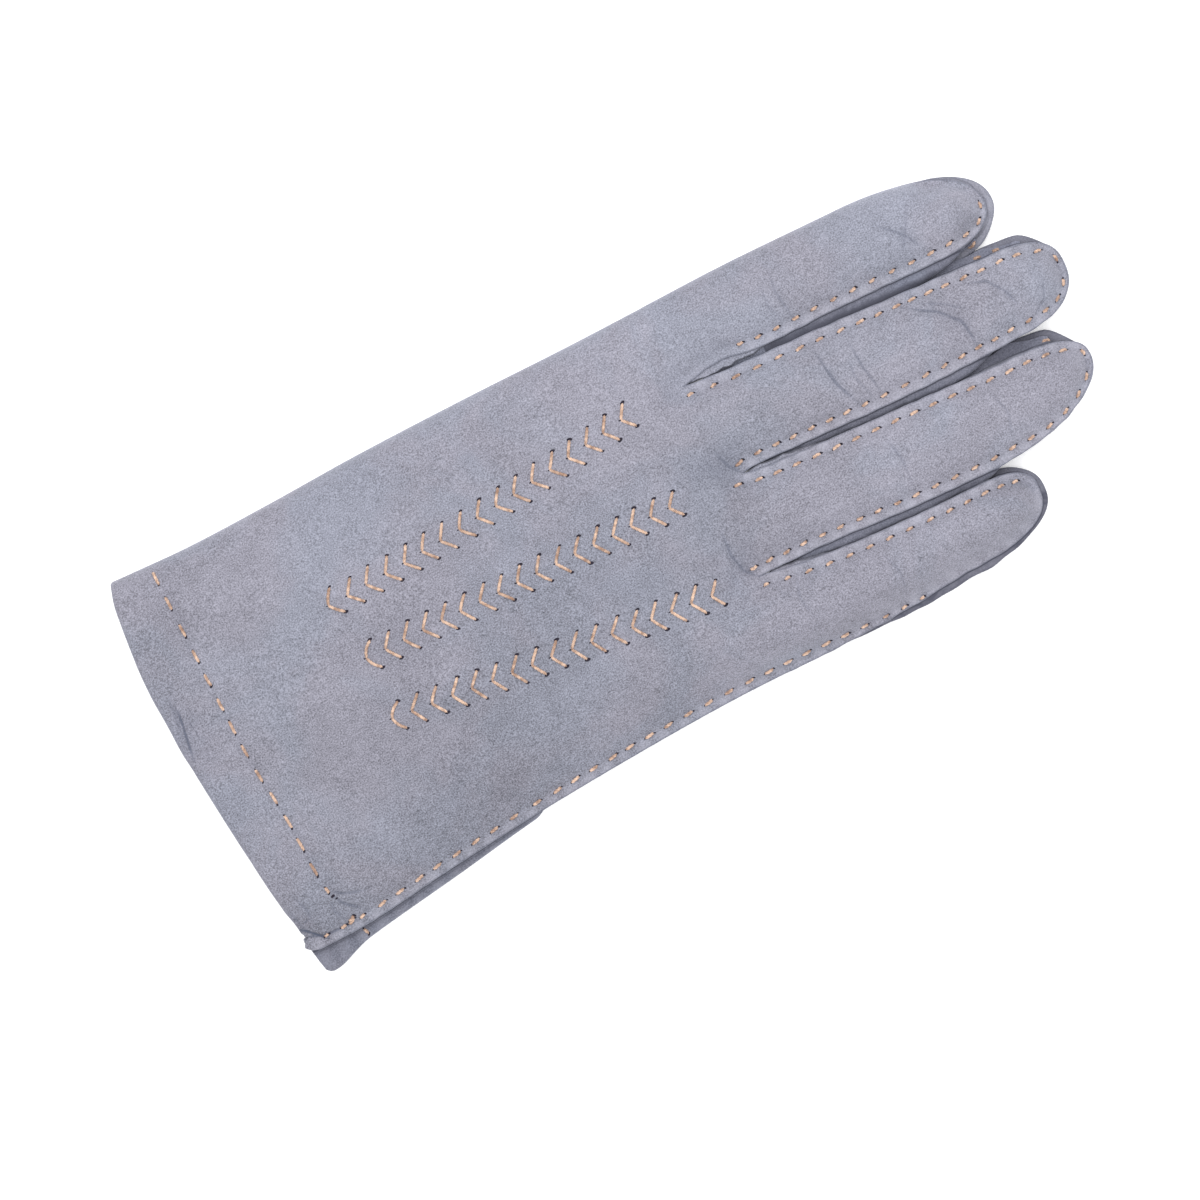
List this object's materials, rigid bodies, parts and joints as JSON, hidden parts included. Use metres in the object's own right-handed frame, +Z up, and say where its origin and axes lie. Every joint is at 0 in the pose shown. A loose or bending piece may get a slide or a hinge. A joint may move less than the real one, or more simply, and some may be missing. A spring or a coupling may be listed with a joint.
{
  "type": "suede glove",
  "caption": "Unlined hand-sewn suede dress glove, lying palm down, with forked finger walls, outward seams and its thumb folded under the palm.",
  "frame": {"origin": "centre of the glove's bounding box in plan, on the surface that it lies on", "axes": "+X along the hand from the cuff to the fingertips, +Y across the hand towards the folded forefinger side, +Z up out of the back of the hand"},
  "size_m": [0.24, 0.1056, 0.0148],
  "materials": {
    "suede_trank": "matt blue-grey suede with a short nap",
    "suede_fourchette": "matt darker blue-grey suede",
    "suede_thumb": "matt blue-grey suede with a short nap"
  },
  "bodies": {
    "root": {"trank": "suede_trank", "fourchette_index_middle": "suede_fourchette", "fourchette_middle_ring": "suede_fourchette", "fourchette_ring_little": "suede_fourchette", "thumb": "suede_thumb"}
  },
  "joints": []
}
